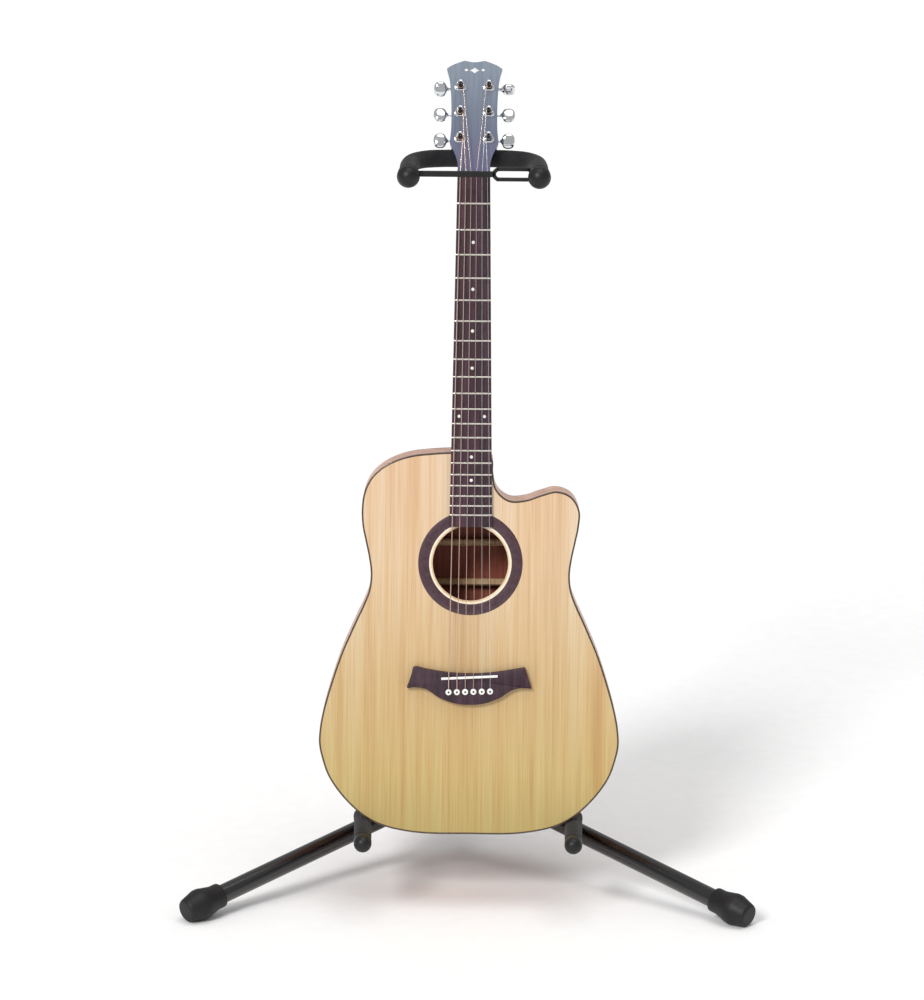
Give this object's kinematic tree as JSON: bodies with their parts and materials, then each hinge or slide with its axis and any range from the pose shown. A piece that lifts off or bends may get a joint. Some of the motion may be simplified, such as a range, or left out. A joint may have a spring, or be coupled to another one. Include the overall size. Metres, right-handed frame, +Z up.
{
  "type": "guitar on stand",
  "caption": "Cutaway acoustic guitar with a natural top, held upright in a folding black tubular tripod stand with padded cradle arms and a padded neck yoke with strap.",
  "frame": {"origin": "centre of the whole object's footprint, on the floor", "axes": "+Z up; the soundboard faces -Y; +X is towards the cutaway side"},
  "size_m": [0.7596, 0.8081, 1.0945],
  "materials": {
    "black_enamel": "gloss black enamel on steel tube",
    "black_nylon": "moulded black nylon",
    "foam": "closed-cell black foam rubber sleeve",
    "rubber": "moulded black rubber",
    "spruce": "satin lacquered spruce",
    "mahogany": "gloss lacquered mahogany",
    "binding": "dark brown binding strip",
    "raw_wood": "raw planed spruce",
    "rosewood": "oiled dark rosewood",
    "bone": "polished white bone substitute",
    "chrome": "bright chrome plate",
    "string_wire": "bronze wound and plain steel string"
  },
  "bodies": {
    "stand": {"leg_hub": "black_nylon", "leg_pin_left": "black_enamel", "leg_pin_right": "black_enamel", "leg_pin_rear": "black_enamel", "lower_tube": "black_enamel", "cradle_bracket": "black_nylon", "cradle_tube": "black_enamel", "cradle_foam_left": "foam", "cradle_foam_right": "foam", "cradle_cap_left": "black_nylon", "cradle_cap_right": "black_nylon", "height_clutch": "black_nylon"},
    "left_leg": {"leg_left": "black_enamel", "foot_left": "rubber"},
    "right_leg": {"leg_right": "black_enamel", "foot_right": "rubber"},
    "rear_leg": {"leg_rear": "black_enamel", "foot_rear": "rubber"},
    "clamp_knob": {"height_knob": "black_nylon"},
    "mast": {"upper_tube": "black_enamel", "yoke_socket": "black_nylon", "yoke_tube": "black_enamel", "yoke_foam_left": "foam", "yoke_foam_right": "foam", "yoke_cap_left": "black_nylon", "yoke_cap_right": "black_nylon"},
    "strap": {"neck_strap": "rubber"},
    "guitar": {"soundboard": "spruce", "sides": "mahogany", "back_plate": "mahogany", "binding": "binding", "neck": "mahogany", "fretboard": "rosewood", "nut": "bone", "bridge": "rosewood", "saddle": "bone", "neck_block": "raw_wood", "tail_block": "raw_wood", "x_brace": "raw_wood", "back_bracing": "raw_wood", "tuner_plate_bass": "chrome", "tuner_plate_treble": "chrome", "string_1": "string_wire", "string_2": "string_wire", "string_3": "string_wire", "string_4": "string_wire", "string_5": "string_wire", "string_6": "string_wire"},
    "button_bass_1": {"button_bass_1": "chrome"},
    "post_bass_1": {"post_bass_1": "chrome"},
    "button_bass_2": {"button_bass_2": "chrome"},
    "post_bass_2": {"post_bass_2": "chrome"},
    "button_bass_3": {"button_bass_3": "chrome"},
    "post_bass_3": {"post_bass_3": "chrome"},
    "button_treble_1": {"button_treble_1": "chrome"},
    "post_treble_1": {"post_treble_1": "chrome"},
    "button_treble_2": {"button_treble_2": "chrome"},
    "post_treble_2": {"post_treble_2": "chrome"},
    "button_treble_3": {"button_treble_3": "chrome"},
    "post_treble_3": {"post_treble_3": "chrome"}
  },
  "joints": [
    {"name": "left_leg_fold", "type": "hinge", "parent": "stand", "child": "left_leg", "pos_m": [-0.02605, -0.10386, 0.09686], "axis": [0.6428, -0.766, 0], "range_deg": [0, 75]},
    {"name": "right_leg_fold", "type": "hinge", "parent": "stand", "child": "right_leg", "pos_m": [0.02605, -0.10386, 0.09686], "axis": [0.6428, 0.766, 0], "range_deg": [0, 75]},
    {"name": "rear_leg_fold", "type": "hinge", "parent": "stand", "child": "rear_leg", "pos_m": [0, -0.048, 0.09686], "axis": [-1, 0, 0], "range_deg": [0, 75]},
    {"name": "mast_height", "type": "slide", "parent": "stand", "child": "mast", "axis": [0, 0, 1], "range_m": [-0.15, 0]},
    {"name": "clamp_knob_turn", "type": "hinge", "parent": "stand", "child": "clamp_knob", "pos_m": [0, -0.055, 0.51], "axis": [0, 1, 0], "range_deg": [0, 360]},
    {"name": "strap_swing", "type": "hinge", "parent": "mast", "child": "strap", "pos_m": [-0.085, -0.2155, 0.969], "axis": [0, 1, 0], "range_deg": [0, 150], "deforming": ["neck_strap"]},
    {"name": "guitar_lift_off", "type": "slide", "parent": "stand", "child": "guitar", "axis": [0, 0.1045, 0.9945], "range_m": [0, 0.25]},
    {"name": "button_bass_1_turn", "type": "hinge", "parent": "guitar", "child": "button_bass_1", "pos_m": [-0.0261, -0.11908, 0.9925], "axis": [-1, 0, 0], "continuous": true},
    {"name": "post_bass_1_turn", "type": "hinge", "parent": "guitar", "child": "post_bass_1", "pos_m": [-0.0186, -0.13657, 1.00066], "axis": [0, -0.9063, 0.4226], "continuous": true},
    {"name": "button_bass_2_turn", "type": "hinge", "parent": "guitar", "child": "button_bass_2", "pos_m": [-0.0261, -0.10441, 1.02395], "axis": [-1, 0, 0], "continuous": true},
    {"name": "post_bass_2_turn", "type": "hinge", "parent": "guitar", "child": "post_bass_2", "pos_m": [-0.0186, -0.1219, 1.0321], "axis": [0, -0.9063, 0.4226], "continuous": true},
    {"name": "button_bass_3_turn", "type": "hinge", "parent": "guitar", "child": "button_bass_3", "pos_m": [-0.0261, -0.08975, 1.0554], "axis": [-1, 0, 0], "continuous": true},
    {"name": "post_bass_3_turn", "type": "hinge", "parent": "guitar", "child": "post_bass_3", "pos_m": [-0.0186, -0.10724, 1.06355], "axis": [0, -0.9063, 0.4226], "continuous": true},
    {"name": "button_treble_1_turn", "type": "hinge", "parent": "guitar", "child": "button_treble_1", "pos_m": [0.0261, -0.11908, 0.9925], "axis": [1, 0, 0], "continuous": true},
    {"name": "post_treble_1_turn", "type": "hinge", "parent": "guitar", "child": "post_treble_1", "pos_m": [0.0186, -0.13657, 1.00066], "axis": [0, -0.9063, 0.4226], "continuous": true},
    {"name": "button_treble_2_turn", "type": "hinge", "parent": "guitar", "child": "button_treble_2", "pos_m": [0.0261, -0.10441, 1.02395], "axis": [1, 0, 0], "continuous": true},
    {"name": "post_treble_2_turn", "type": "hinge", "parent": "guitar", "child": "post_treble_2", "pos_m": [0.0186, -0.1219, 1.0321], "axis": [0, -0.9063, 0.4226], "continuous": true},
    {"name": "button_treble_3_turn", "type": "hinge", "parent": "guitar", "child": "button_treble_3", "pos_m": [0.0261, -0.08975, 1.0554], "axis": [1, 0, 0], "continuous": true},
    {"name": "post_treble_3_turn", "type": "hinge", "parent": "guitar", "child": "post_treble_3", "pos_m": [0.0186, -0.10724, 1.06355], "axis": [0, -0.9063, 0.4226], "continuous": true}
  ],
  "couplings": [
    {"joint": "post_bass_1_turn", "follows": "button_bass_1_turn", "ratio": 0.0714},
    {"joint": "post_bass_2_turn", "follows": "button_bass_2_turn", "ratio": 0.0714},
    {"joint": "post_bass_3_turn", "follows": "button_bass_3_turn", "ratio": 0.0714},
    {"joint": "post_treble_1_turn", "follows": "button_treble_1_turn", "ratio": 0.0714},
    {"joint": "post_treble_2_turn", "follows": "button_treble_2_turn", "ratio": 0.0714},
    {"joint": "post_treble_3_turn", "follows": "button_treble_3_turn", "ratio": 0.0714}
  ]
}
